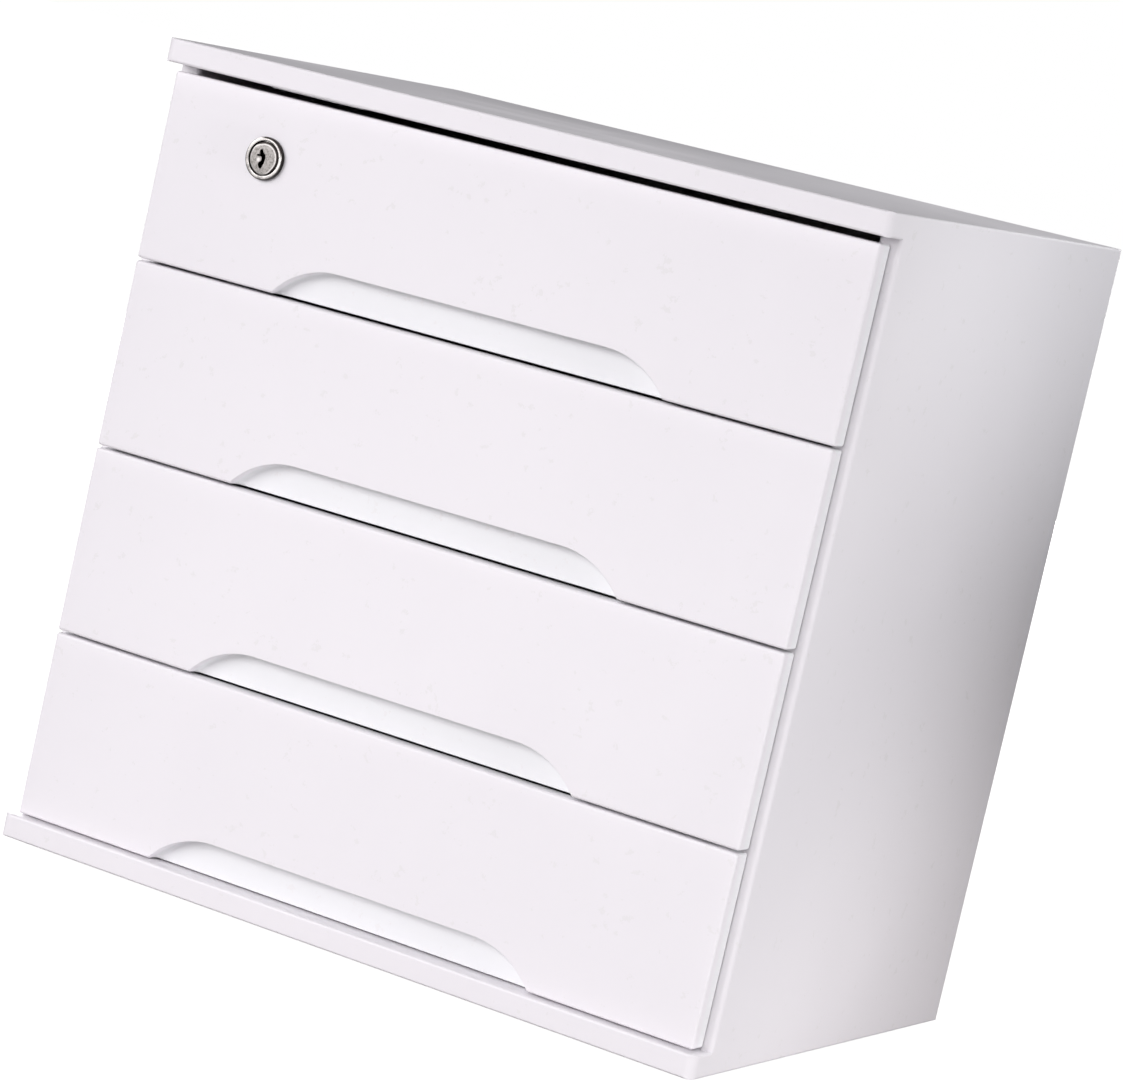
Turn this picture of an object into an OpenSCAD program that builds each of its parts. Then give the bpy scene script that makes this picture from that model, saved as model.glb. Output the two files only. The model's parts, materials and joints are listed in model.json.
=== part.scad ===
// Desktop cabinet with four drawers: a carcass of white foam board, drawer boxes that
// slide on wooden strips, overlaid fronts with a routed finger pull and a cam lock in
// the top drawer. Millimetres. +Z is up and the fronts face -Y; the origin lies under
// the middle of the cabinet, on the surface that the pads stand on.

/* [Carcass] */
// Width of the top and base boards
case_w = 340; // [300:1:420]
// Depth of the top and base boards
case_d = 239; // [200:1:320]
// Height from the underside of the base to the top surface
case_h = 345.2; // [320:0.1:460]
// Thickness of the top, base and side boards
board_t = 10; // [8:0.5:14]
// Radius of the upright corners of the top and base boards
board_corner_r = 4; // [2:0.5:8]
// Radius along the long edges of the top and base boards
board_edge_r = 1; // [0.5:0.25:3]
// Radius of the upright edges of the side boards
side_edge_r = 2; // [0.5:0.25:3]
// Thickness of the back panel
back_t = 5; // [3:0.5:8]
// How far the back panel laps onto the boards around it
back_lap = 6; // [4:0.5:7]
// Play between the back panel and its rebate
back_play = 0.3; // [0.1:0.1:1]

/* [Drawer fronts] */
// Thickness of a drawer front
front_t = 8.5; // [7:0.5:14]
// How far the fronts stand behind the edges of the top and base boards
front_setback = 4.5; // [2:0.5:8]
// Gap between a closed front and the edge of a side board
front_clear = 0.5; // [0.3:0.1:2]
// Strip of side board left bare beside a front
side_reveal = 4.4; // [1:0.1:8]
// Gap between two fronts
front_gap = 1.2; // [0.8:0.1:3]
// Gap above the top front
top_gap = 3; // [1.5:0.1:5]
// Gap below the bottom front
bottom_gap = 0.7; // [0.5:0.1:4]
// Radius of the edges of a front
front_edge_r = 1.2; // [0.5:0.1:3]

/* [Finger pull] */
// Width of the pull along the bottom edge of the front
pull_w = 187; // [120:1:220]
// Height of the pull
pull_h = 14.2; // [10:0.1:20]
// Depth of the pull, and the radius of its cove
pull_depth = 6; // [4.5:0.1:6.5]
// Radius of the two curved ends
pull_end_r = 38; // [30:1:60]
// Middle of the pull, measured from the middle of the front
pull_offset = -4; // [-10:0.5:10]

/* [Drawer boxes] */
// Thickness of the box boards
box_t = 8; // [6:0.5:10]
// Play between a box and the side board beside it
box_play = 1; // [0.5:0.1:3]
// Height of the box underside above the bottom edge of its front
box_lift = 9; // [9:0.5:14]
// Distance from the top edge of the front down to the top of the box
box_drop = 2.5; // [1:0.5:10]
// Gap between a closed box and the back panel
box_back_gap = 3; // [2:0.5:10]
// Radius along the top edges of the box boards
box_edge_r = 1.5; // [0.5:0.25:3]
// Thickness of the drawer bottom
floor_t = 3; // [2:0.5:5]
// Height of the drawer bottom above the underside of the box
floor_lift = 6; // [4:0.5:10]
// Depth of the grooves that hold the drawer bottom
groove_d = 4; // [2:0.5:5]
// Play of the drawer bottom in its grooves
floor_play = 0.1; // [0.05:0.05:0.5]

/* [Runners] */
// Height of a runner strip
runner_h = 7.8; // [7:0.1:8]
// How far a runner stands out of the side board
runner_w = 9; // [8:0.5:9.5]
// Distance from the front edge of the side board to the runner
runner_set = 6; // [3:0.5:20]
// Distance from the rear end of the runner to the back panel
runner_end_gap = 9.5; // [3:0.5:60]
// Gap between a runner and the box that rests on it
runner_gap = 0.3; // [0.2:0.05:0.6]

/* [Fasteners] */
// Shank diameter of the wood screws
screw_d = 3; // [2.5:0.1:3.5]
// Head diameter of the wood screws
screw_head_d = 6; // [5:0.1:7]
// Length of the screws through a box board into the front
front_screw_l = 13; // [11:0.5:14]
// Length of the screws at the corners of a box
corner_screw_l = 25; // [16:1:30]
// Length of the screws that hold a runner
runner_screw_l = 16; // [12:0.5:17]
// Length of the screws through the base board
base_screw_l = 35; // [20:1:45]
// Length of the screws that hold the strike plate
strike_screw_l = 7; // [5:0.5:8]
// Diameter of the dowels under the top board
dowel_d = 6; // [5:0.5:7]
// Length of the dowels
dowel_l = 22; // [16:1:30]
// Depth of the dowel holes in the top board
dowel_top_depth = 7; // [4:0.5:7.5]
// Shank diameter of the pins in the back panel
pin_d = 1.6; // [1.2:0.1:2.2]
// Length of the pins
pin_l = 16; // [12:1:25]
// Radial play of pins, dowels and screws in their holes
hole_play = 0.05; // [0.02:0.01:0.2]

/* [Lock] */
// Distance from the left edge of the top front to the middle of the lock
lock_from_edge = 52.4; // [40:0.1:120]
// Distance from the top edge of the front down to the middle of the lock
lock_from_top = 26.5; // [25:0.1:30]
// Diameter of the ring on the face
lock_face_d = 18; // [18:0.5:24]
// How far the ring stands out of the front
lock_face_t = 2; // [1.5:0.1:4]
// Diameter of the barrel through the boards
barrel_d = 16; // [15:0.5:17]
// Length of the barrel behind the ring
barrel_l = 25; // [24:0.5:35]
// Play around the barrel in the boards
barrel_play = 0.2; // [0.1:0.05:0.5]
// Diameter of the face of the plug
plug_face_d = 14; // [13:0.1:14.5]
// Thickness of the face of the plug
plug_face_t = 1.2; // [0.8:0.1:1.6]
// Diameter of the turning plug inside the barrel
plug_d = 11.8; // [10:0.1:12.5]
// Radial running clearance of the plug
plug_clear = 0.08; // [0.04:0.01:0.1]
// Width across the flats of the nut
nut_af = 22; // [20:0.5:26]
// Thickness of the nut
nut_t = 4; // [3:0.5:5]
// Reach of the cam from the middle of the lock
cam_l = 34.5; // [33:0.5:36]
// Width of the cam
cam_w = 12; // [10:0.5:14]
// Thickness of the cam
cam_t = 1.8; // [1.2:0.1:3]
// Thickness of the strike plate
strike_t = 1.2; // [0.8:0.1:2]
// Depth of the pocket that the cam turns into
strike_pocket = 7; // [6:0.1:7.5]
// Clearance of the cam in the strike plate
strike_clear = 1.2; // [0.8:0.1:2]

/* [Pads] */
// Diameter of the pads under the base
pad_d = 20; // [12:1:30]
// Thickness of the pads
pad_t = 2.8; // [1:0.1:4]
// Distance from the edges of the base to the middle of a pad
pad_inset = 26; // [16:1:40]

/* [Hidden] */
$fn = 48;

// Colours
board_white = [0.93, 0.92, 0.93];
inner_white = [0.90, 0.90, 0.89];
strip_white = [0.86, 0.85, 0.83];
nickel = [0.74, 0.73, 0.70];
zinc = [0.66, 0.67, 0.68];
beech = [0.80, 0.66, 0.46];
pad_grey = [0.25, 0.25, 0.26];

// A cutter runs this far past the face that it opens
over = 1;

// Carcass
LEFT = -1;
RIGHT = 1;
drawers = 4;
front_y = -case_d / 2;
rear_y = case_d / 2;
base_z = pad_t;
base_top_z = base_z + board_t;
top_z = base_z + case_h;
under_top_z = top_z - board_t;
inner_x = case_w / 2 - board_t;
side_h = under_top_z - base_top_z;

// Fronts
face_y = front_y + front_setback;
face_back_y = face_y + front_t;
side_y = face_back_y + front_clear;
front_w = case_w - 2 * side_reveal;
front_h = (side_h - top_gap - bottom_gap - (drawers - 1) * front_gap) / drawers;
function front_z(i) = base_top_z + bottom_gap + (drawers - i) * (front_h + front_gap);

// Finger pull: the arcs of its ends meet the straight top edge tangentially
pull_arc_w = sqrt(pow(pull_end_r, 2) - pow(pull_end_r - pull_h, 2));
pull_straight_w = pull_w - 2 * pull_arc_w;

// Boxes
box_w = 2 * (inner_x - box_play);
box_l = rear_y - back_t - box_back_gap - face_back_y;
box_h = front_h - box_lift - box_drop;
box_inner_w = box_w - 2 * box_t;
box_inner_l = box_l - 2 * box_t;
function box_z(i) = front_z(i) + box_lift;

// Runners
runner_y = side_y + runner_set;
runner_l = rear_y - back_t - runner_end_gap - runner_y;
function runner_z(i) = box_z(i) - runner_gap - runner_h;
runner_screw_inset = 20;
runner_screw_share = 0.4; // the middle screw stands clear of the upright one in the side board

// Screws along a joint stand this far in from its ends
joint_inset = 40;
corner_screw_inset = 16;
front_screw_x = 130;
back_pin_pitch = 70;

// Fasteners: a countersunk head is a 90 degree cone with a cross in it, and a hole runs
// on a little past the end of what it holds
head_h = (screw_head_d - screw_d) / 2;
tip_r = 0.2;
cross_w = 0.8;
cross_depth = 1;
hole_end = 0.5;
pin_head_t = 0.6;
pin_head_sink = 0.2;
dowel_end = 0.2;

// Lock
lock_x = -front_w / 2 + lock_from_edge;
lock_z = front_z(1) + front_h - lock_from_top;
plug_seat = plug_face_t + 0.1;
plug_recess = 0.3;
ring_edge_r = 0.5;
ring_groove_r = 0.3;
ring_groove_gap = 0.25;
plug_bore_r = plug_d / 2 + plug_clear;
cam_gap = 0.4;
cam_y = face_y + barrel_l + cam_gap;
tang = 7;
tang_play = 0.05;
cam_screw_d = 4;
cam_screw_head_d = 10;
cam_screw_head_t = 2;
cam_screw_l = 9;
keyway_depth = 12;
keyway_outline = [ // seen from the front: a bent upright slot with a ward on its left
    [0.75, 0.75], [0.35, 1.65], [-0.5, 2.2], [-0.95, 2.9], [-1.2, 3.5], [-2.1, 3.6],
    [-2.6, 3], [-2.45, 2.1], [-2.1, 1.2], [-2.9, 1.4], [-3.6, 1.05], [-3.7, 0.55],
    [-2.9, 0.3], [-2.1, 0.55], [-1.35, 0.45], [-1, -0.3], [-1.1, -1.2], [-2.1, -1.9],
    [-2.35, -2.8], [-1.85, -4], [-0.95, -4.5], [-0.3, -4.2], [0.3, -2.5], [0.7, -0.7]];
cam_hub_r = cam_w / 2 + 1;

// Strike: the slot clears the arc of the cam where it passes the plate
strike_y = cam_y + cam_t / 2;
plate_drop = under_top_z - strike_t - lock_z;
slot_hi = sqrt(pow(cam_l, 2) - pow(plate_drop, 2)) + strike_clear;
slot_lo = -cam_w / 2 - strike_clear;
slot_w = slot_hi - slot_lo;
slot_mid_x = lock_x + (slot_hi + slot_lo) / 2;
drawer_slack = 2;
slot_d = cam_t + 2 * strike_clear + drawer_slack;
strike_corner_r = 2;
strike_ear = 10;
strike_w = slot_w + 2 * strike_ear;
strike_d = 16;

// ---- Shared shapes -------------------------------------------------------------------

// Rectangle from the origin with four rounded corners
module rounded_rect(w, h, r) {
    translate([r, 0]) square([w - 2 * r, h]);
    translate([0, r]) square([w, h - 2 * r]);
    for (x = [r, w - r], y = [r, h - r]) translate([x, y]) circle(r);
}

// Board from the origin, rounded along the edges that run in X, in Y and in Z
module rounded_board(size, rx, ry, rz) {
    intersection() {
        linear_extrude(size[2]) rounded_rect(size[0], size[1], rz);
        rotate([90, 0, 90]) linear_extrude(size[0]) rounded_rect(size[1], size[2], rx);
        translate([0, size[1], 0]) rotate([90, 0, 0])
            linear_extrude(size[1]) rounded_rect(size[0], size[2], ry);
    }
}

// Countersunk screw that enters along -Z, with the top of its head at the origin
module wood_screw(length) {
    tip = screw_d;
    cross_l = screw_head_d * 0.55;
    difference() {
        union() {
            translate([0, 0, -head_h])
                cylinder(h = head_h, r1 = screw_d / 2, r2 = screw_head_d / 2);
            translate([0, 0, tip - length]) cylinder(h = length - tip - head_h, r = screw_d / 2);
            translate([0, 0, -length]) cylinder(h = tip, r1 = tip_r, r2 = screw_d / 2);
        }
        for (turn = [0, 90]) rotate(turn)
            translate([-cross_l / 2, -cross_w / 2, -cross_depth])
                cube([cross_l, cross_w, cross_depth + over]);
    }
}

// The hole of that screw: countersink and shank
module screw_hole(length) {
    r = screw_d / 2 + hole_play;
    head_r = screw_head_d / 2 + hole_play;
    translate([0, 0, -length - hole_end]) cylinder(h = length + hole_end, r = r);
    translate([0, 0, -head_h]) cylinder(h = head_h, r1 = r, r2 = head_r);
    cylinder(h = over, r = head_r);
}

// Ways for a screw to enter
module into_back() rotate([90, 0, 0]) children();
module into_front() rotate([-90, 0, 0]) children();
module into_side(side) rotate([0, -90 * side, 0]) children();
module into_top() rotate([180, 0, 0]) children();

// ---- Where the fasteners go ----------------------------------------------------------

module base_screw_places() {
    span = rear_y - back_t - side_y - 2 * joint_inset;
    for (side = [LEFT, RIGHT], k = [0:2])
        translate([side * (inner_x + board_t / 2), side_y + joint_inset + k * span / 2, base_z])
            into_top() children();
}

module dowel_places() {
    span = rear_y - back_t - side_y - 2 * joint_inset;
    for (side = [LEFT, RIGHT], k = [0:2])
        translate([side * (inner_x + board_t / 2), side_y + joint_inset + k * span / 2,
                   under_top_z + dowel_top_depth]) children();
}

module back_pin_places() {
    x_edge = inner_x + back_lap / 2;
    z_lo = base_top_z - back_lap / 2;
    z_hi = under_top_z + back_lap / 2;
    rows = ceil((z_hi - z_lo) / back_pin_pitch);
    cols = ceil(2 * x_edge / back_pin_pitch);
    for (side = [LEFT, RIGHT], k = [1:rows - 1])
        translate([side * x_edge, rear_y, z_lo + k * (z_hi - z_lo) / rows]) children();
    for (z = [z_lo, z_hi], k = [1:cols - 1])
        translate([-x_edge + k * 2 * x_edge / cols, rear_y, z]) children();
}

module runner_screw_places(side, i) {
    for (y = [runner_screw_inset, runner_l * runner_screw_share, runner_l - runner_screw_inset])
        translate([side * (inner_x - runner_w), runner_y + y, runner_z(i) + runner_h / 2])
            into_side(side) children();
}

// Four screws from inside the box into the front
module front_screw_places(i) {
    for (x = [-front_screw_x, front_screw_x], z = [corner_screw_inset, box_h - corner_screw_inset])
        translate([x, face_back_y + box_t, box_z(i) + z]) into_front() children();
}

// Two screws through each end of a side of the box
module corner_screw_places(i, side) {
    for (y = [box_t / 2, box_l - box_t / 2], z = [corner_screw_inset, box_h - corner_screw_inset])
        translate([side * box_w / 2, face_back_y + y, box_z(i) + z]) into_side(-side) children();
}

module strike_screw_places() {
    for (x = [slot_lo - strike_ear / 2, slot_hi + strike_ear / 2])
        translate([lock_x + x, strike_y, under_top_z - strike_t]) into_top() children();
}

// ---- Carcass -------------------------------------------------------------------------

// Space of the back panel in the rear edges of the carcass
module back_rebate() {
    w = 2 * (inner_x + back_lap);
    translate([-w / 2, rear_y - back_t, base_top_z - back_lap])
        cube([w, back_t + over, side_h + 2 * back_lap]);
}

// Hole of a pin through the back panel, with its head at the rear
module back_pin_hole() {
    into_front() {
        translate([0, 0, -pin_l - hole_end])
            cylinder(h = pin_l + hole_end, r = pin_d / 2 + hole_play);
        translate([0, 0, -pin_head_t - pin_head_sink])
            cylinder(h = pin_head_t + pin_head_sink + over, r = pin_d + hole_play);
    }
}

// Hole of a dowel, from the top of the dowel down
module dowel_hole() {
    translate([0, 0, -dowel_l - hole_end])
        cylinder(h = dowel_l + hole_end, r = dowel_d / 2 + hole_play);
}

// Plan of a full-width board, from the origin; its rear corners match the side boards
module full_board_plan() {
    rounded_rect(case_w, case_d, board_corner_r);
    translate([0, case_d / 2]) rounded_rect(case_w, case_d / 2, side_edge_r);
}

// Full-width board with its outer face up; the top and the base are the same board. Its
// edges are round, but its inner half is square where it lies flush on the side boards
module full_board() {
    seat_y = side_y - front_y;
    translate([-case_w / 2, front_y, 0]) {
        intersection() {
            linear_extrude(board_t) full_board_plan();
            rotate([90, 0, 90]) linear_extrude(case_w)
                rounded_rect(case_d, board_t, board_edge_r);
            translate([0, case_d, 0]) rotate([90, 0, 0]) linear_extrude(case_d)
                rounded_rect(case_w, board_t, board_edge_r);
        }
        linear_extrude(board_t / 2) {
            translate([0, seat_y]) square([case_w, case_d / 2]);
            translate([0, case_d / 2]) rounded_rect(case_w, case_d / 2, side_edge_r);
        }
    }
}

module top_panel() {
    color(board_white) difference() {
        translate([0, 0, under_top_z]) full_board();
        back_rebate();
        dowel_places() dowel_hole();
        back_pin_places() back_pin_hole();
        strike_screw_places() screw_hole(strike_screw_l);
        translate([slot_mid_x - slot_w / 2, strike_y - slot_d / 2, under_top_z - over])
            cube([slot_w, slot_d, strike_pocket + over]);
    }
}

module base_panel() {
    color(board_white) difference() {
        translate([0, 0, base_top_z]) mirror([0, 0, 1]) full_board();
        back_rebate();
        base_screw_places() screw_hole(base_screw_l);
        back_pin_places() back_pin_hole();
    }
}

module side_panel(side) {
    x = side == LEFT ? -case_w / 2 : inner_x;
    color(board_white) difference() {
        translate([x, side_y, base_top_z])
            linear_extrude(side_h) rounded_rect(board_t, rear_y - side_y, side_edge_r);
        back_rebate();
        base_screw_places() screw_hole(base_screw_l);
        dowel_places() dowel_hole();
        back_pin_places() back_pin_hole();
        for (i = [1:drawers]) runner_screw_places(side, i) screw_hole(runner_screw_l);
    }
}

module back_panel() {
    w = 2 * (inner_x + back_lap - back_play);
    h = side_h + 2 * (back_lap - back_play);
    color(inner_white) difference() {
        translate([-w / 2, rear_y - back_t, base_top_z - back_lap + back_play]) cube([w, back_t, h]);
        back_pin_places() back_pin_hole();
    }
}

module top_dowels() {
    color(beech) dowel_places()
        translate([0, 0, -dowel_l]) cylinder(h = dowel_l - dowel_end, r = dowel_d / 2);
}

module base_screws() {
    color(zinc) base_screw_places() wood_screw(base_screw_l);
}

module back_pins() {
    color(zinc) back_pin_places() into_front() {
        translate([0, 0, -pin_l]) cylinder(h = pin_l - pin_head_t, r = pin_d / 2);
        translate([0, 0, -pin_head_t - pin_head_sink]) cylinder(h = pin_head_t, r = pin_d);
    }
}

module runner(side, i) {
    x = side == LEFT ? -inner_x : inner_x - runner_w;
    color(strip_white) difference() {
        translate([x, runner_y, runner_z(i)]) cube([runner_w, runner_l, runner_h]);
        runner_screw_places(side, i) screw_hole(runner_screw_l);
    }
}

module runner_screws() {
    color(zinc) for (side = [LEFT, RIGHT], i = [1:drawers])
        runner_screw_places(side, i) wood_screw(runner_screw_l);
}

module pad(side, end) {
    color(pad_grey)
        translate([side * (case_w / 2 - pad_inset), end * (case_d / 2 - pad_inset), 0])
            cylinder(h = pad_t, d = pad_d);
}

// ---- Drawers -------------------------------------------------------------------------

// Half section of the pull, upright: full depth below, with a cove under its top edge
module pull_section(height) {
    square([pull_depth, height - pull_depth]);
    translate([0, height - 2 * pull_depth]) intersection() {
        translate([0, pull_depth]) circle(pull_depth);
        square([pull_depth, 2 * pull_depth]);
    }
}

// Space of the finger pull, with the middle of its bottom edge at the origin and its
// mouth in the plane of the face
module finger_pull() {
    // straight part, from below the edge up to the top of the pull
    translate([-pull_straight_w / 2, 0, -over]) rotate([90, 0, 90])
        linear_extrude(pull_straight_w) pull_section(pull_h + over);
    // ends: a dish whose rim has the same cove
    for (x = [-pull_straight_w / 2, pull_straight_w / 2])
        intersection() {
            translate([x, 0, pull_h - pull_end_r]) rotate([-90, 0, 0])
                rotate_extrude($fn = 96) rotate(-90) mirror([1, 0]) pull_section(pull_end_r);
            translate([x - pull_end_r, -over, -over])
                cube([2 * pull_end_r, pull_depth + 2 * over, pull_h + 2 * over]);
        }
    // mouth, so that the cutter passes the face
    translate([0, 0, pull_h - pull_end_r]) intersection() {
        union() {
            for (x = [-pull_straight_w / 2, pull_straight_w / 2])
                translate([x, 0, 0]) rotate([90, 0, 0]) cylinder(h = over, r = pull_end_r, $fn = 96);
            translate([-pull_straight_w / 2, -over, 0]) cube([pull_straight_w, over, pull_end_r]);
        }
        translate([-pull_w, -over, pull_end_r - pull_h - over])
            cube([2 * pull_w, over, pull_h + 2 * over]);
    }
}

module front_blank(i) {
    difference() {
        translate([-front_w / 2, face_y, front_z(i)]) intersection() {
            rounded_board([front_w, front_t + front_edge_r, front_h],
                          front_edge_r, front_edge_r, front_edge_r);
            cube([front_w, front_t, front_h]);
        }
        translate([pull_offset, face_y, front_z(i)]) finger_pull();
        front_screw_places(i) screw_hole(front_screw_l);
    }
}

// Round hole for the lock through the front and the board behind it
module barrel_hole() {
    translate([lock_x, face_y - over, lock_z]) rotate([-90, 0, 0])
        cylinder(h = front_t + box_t + 2 * over, r = barrel_d / 2 + barrel_play);
}

module drawer_front(i) {
    color(board_white) difference() {
        front_blank(i);
        if (i == 1) barrel_hole();
    }
}

// Groove for the drawer bottom, cut into all four boards of a box at once
module floor_groove(i) {
    translate([-box_inner_w / 2 - groove_d, face_back_y + box_t - groove_d,
               box_z(i) + floor_lift - floor_play])
        cube([box_inner_w + 2 * groove_d, box_inner_l + 2 * groove_d, floor_t + 2 * floor_play]);
}

// Cross board of a box, at distance y behind the front
module box_board(i, y) {
    difference() {
        translate([-box_inner_w / 2, face_back_y + y, box_z(i)]) intersection() {
            cube([box_inner_w, box_t, box_h]);
            translate([0, 0, -box_edge_r]) rotate([90, 0, 90])
                linear_extrude(box_inner_w) rounded_rect(box_t, box_h + box_edge_r, box_edge_r);
        }
        floor_groove(i);
        for (side = [LEFT, RIGHT]) corner_screw_places(i, side) screw_hole(corner_screw_l);
        front_screw_places(i) screw_hole(front_screw_l);
    }
}

module drawer_box_front(i) {
    color(inner_white) difference() {
        box_board(i, 0);
        if (i == 1) barrel_hole();
    }
}

module drawer_box_back(i) {
    color(inner_white) box_board(i, box_l - box_t);
}

module drawer_side(i, side) {
    x = side == LEFT ? -box_w / 2 : box_w / 2 - box_t;
    color(inner_white) difference() {
        translate([x, face_back_y, box_z(i)]) intersection() {
            cube([box_t, box_l, box_h]);
            translate([0, box_l, -box_edge_r]) rotate([90, 0, 0])
                linear_extrude(box_l) rounded_rect(box_t, box_h + box_edge_r, box_edge_r);
        }
        floor_groove(i);
        corner_screw_places(i, side) screw_hole(corner_screw_l);
    }
}

module drawer_floor(i) {
    grip = groove_d - floor_play;
    color(inner_white)
        translate([-box_inner_w / 2 - grip, face_back_y + box_t - grip, box_z(i) + floor_lift])
            cube([box_inner_w + 2 * grip, box_inner_l + 2 * grip, floor_t]);
}

module drawer_screws(i) {
    color(zinc) {
        front_screw_places(i) wood_screw(front_screw_l);
        for (side = [LEFT, RIGHT]) corner_screw_places(i, side) wood_screw(corner_screw_l);
    }
}

// ---- Lock ----------------------------------------------------------------------------

// Everything on the axis of the lock is drawn along +Z and laid down along +Y
module on_lock_axis(y) {
    translate([lock_x, y, lock_z]) rotate([-90, 0, 0]) children();
}

// Ring on the face with the plain barrel behind it, bored for the plug
module lock_barrel() {
    rim = ring_edge_r;
    color(nickel) on_lock_axis(face_y) difference() {
        rotate_extrude() difference() {
            union() {
                translate([0, -lock_face_t]) square([lock_face_d / 2 - rim, lock_face_t]);
                translate([0, -lock_face_t + rim]) square([lock_face_d / 2, lock_face_t - rim]);
                translate([lock_face_d / 2 - rim, -lock_face_t + rim]) circle(rim);
                square([barrel_d / 2, barrel_l]);
            }
            // bore, and the seat of the plug's face
            translate([-over, -lock_face_t - over])
                square([plug_bore_r + over, barrel_l + lock_face_t + 2 * over]);
            translate([-over, -lock_face_t - over])
                square([plug_face_d / 2 + plug_clear + over, plug_seat + plug_recess + over]);
            // turned groove around the seat
            translate([plug_face_d / 2 + ring_groove_gap, -lock_face_t]) circle(ring_groove_r);
        }
    }
}

// Plug with its keyway, and the square tang that carries the cam
module lock_plug() {
    face_y0 = plug_recess - lock_face_t;
    color(nickel) on_lock_axis(face_y) difference() {
        union() {
            translate([0, 0, face_y0]) cylinder(h = plug_face_t, r = plug_face_d / 2 - plug_clear);
            translate([0, 0, face_y0]) cylinder(h = barrel_l + cam_gap - face_y0, r = plug_d / 2);
            translate([-tang / 2, -tang / 2, barrel_l]) cube([tang, tang, cam_gap + cam_t]);
        }
        // keyway, turned over because the axis lays +Y down to -Z
        translate([0, 0, face_y0 - over]) linear_extrude(keyway_depth + over)
            mirror([0, 1]) polygon(keyway_outline);
        translate([0, 0, barrel_l + cam_gap + cam_t - cam_screw_l - hole_end])
            cylinder(h = cam_screw_l + hole_end + over, r = cam_screw_d / 2 + hole_play);
    }
}

// Nut that clamps the barrel to the board, bored to the barrel
module lock_nut() {
    color(zinc) on_lock_axis(face_back_y + box_t) difference() {
        cylinder(h = nut_t, r = nut_af / 2 / cos(30), $fn = 6);
        translate([0, 0, -over]) cylinder(h = nut_t + 2 * over, r = barrel_d / 2 + hole_play);
    }
}

// Cam, unlocked: its arm points along +X
module lock_cam() {
    hole = tang + 2 * tang_play;
    color(zinc) on_lock_axis(cam_y) difference() {
        union() {
            cylinder(h = cam_t, r = cam_hub_r);
            translate([0, -cam_w / 2, 0]) cube([cam_l - cam_w / 2, cam_w, cam_t]);
            translate([cam_l - cam_w / 2, 0, 0]) cylinder(h = cam_t, r = cam_w / 2);
        }
        translate([-hole / 2, -hole / 2, -over]) cube([hole, hole, cam_t + 2 * over]);
    }
}

module lock_cam_screw() {
    cross_l = cam_screw_head_d * 0.5;
    color(zinc) on_lock_axis(cam_y + cam_t) difference() {
        union() {
            cylinder(h = cam_screw_head_t, r = cam_screw_head_d / 2);
            translate([0, 0, -cam_screw_l]) cylinder(h = cam_screw_l, r = cam_screw_d / 2);
        }
        for (turn = [0, 90]) rotate(turn)
            translate([-cross_l / 2, -cross_w / 2, cam_screw_head_t - cross_depth])
                cube([cross_l, cross_w, cross_depth + over]);
    }
}

module strike_plate() {
    color(zinc) difference() {
        translate([slot_mid_x - strike_w / 2, strike_y - strike_d / 2, under_top_z - strike_t])
            linear_extrude(strike_t) rounded_rect(strike_w, strike_d, strike_corner_r);
        translate([slot_mid_x - slot_w / 2, strike_y - slot_d / 2, under_top_z - strike_t - over])
            cube([slot_w, slot_d, strike_t + 2 * over]);
        strike_screw_places() screw_hole(strike_screw_l);
    }
}

module strike_screws() {
    color(zinc) strike_screw_places() wood_screw(strike_screw_l);
}

// ---- The parts -----------------------------------------------------------------------

top_panel();
base_panel();
side_panel(LEFT);  // left_side_panel
side_panel(RIGHT);  // right_side_panel
back_panel();
top_dowels();
base_screws();
back_pins();
runner_screws();
runner(LEFT, 1);  // left_runner_1
runner(LEFT, 2);  // left_runner_2
runner(LEFT, 3);  // left_runner_3
runner(LEFT, 4);  // left_runner_4
runner(RIGHT, 1);  // right_runner_1
runner(RIGHT, 2);  // right_runner_2
runner(RIGHT, 3);  // right_runner_3
runner(RIGHT, 4);  // right_runner_4
pad(LEFT, -1);  // front_left_pad
pad(RIGHT, -1);  // front_right_pad
pad(LEFT, 1);  // rear_left_pad
pad(RIGHT, 1);  // rear_right_pad
drawer_front(1);  // drawer_1_front
drawer_box_front(1);  // drawer_1_box_front
drawer_box_back(1);  // drawer_1_box_back
drawer_side(1, LEFT);  // drawer_1_left_side
drawer_side(1, RIGHT);  // drawer_1_right_side
drawer_floor(1);  // drawer_1_floor
drawer_screws(1);  // drawer_1_screws
drawer_front(2);  // drawer_2_front
drawer_box_front(2);  // drawer_2_box_front
drawer_box_back(2);  // drawer_2_box_back
drawer_side(2, LEFT);  // drawer_2_left_side
drawer_side(2, RIGHT);  // drawer_2_right_side
drawer_floor(2);  // drawer_2_floor
drawer_screws(2);  // drawer_2_screws
drawer_front(3);  // drawer_3_front
drawer_box_front(3);  // drawer_3_box_front
drawer_box_back(3);  // drawer_3_box_back
drawer_side(3, LEFT);  // drawer_3_left_side
drawer_side(3, RIGHT);  // drawer_3_right_side
drawer_floor(3);  // drawer_3_floor
drawer_screws(3);  // drawer_3_screws
drawer_front(4);  // drawer_4_front
drawer_box_front(4);  // drawer_4_box_front
drawer_box_back(4);  // drawer_4_box_back
drawer_side(4, LEFT);  // drawer_4_left_side
drawer_side(4, RIGHT);  // drawer_4_right_side
drawer_floor(4);  // drawer_4_floor
drawer_screws(4);  // drawer_4_screws
lock_barrel();
lock_nut();
lock_plug();
lock_cam();
lock_cam_screw();
strike_plate();
strike_screws();
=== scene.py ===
# %% [markdown]
# # A white desktop cabinet with four drawers
#
# The construction of the cabinet arrives as a finished frame: every board, screw and lock
# piece has its real size and place. This lesson gives it its looks. We set up the camera
# and a soft studio, write a few effects as node groups, turn them into finishes, and build
# the pieces whose shape carries the look: the routed drawer fronts and the turned lock.
# Everything is in metres, with +Z up and the drawer fronts facing -Y.

# %% Load the frame
import json
import math

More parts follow.
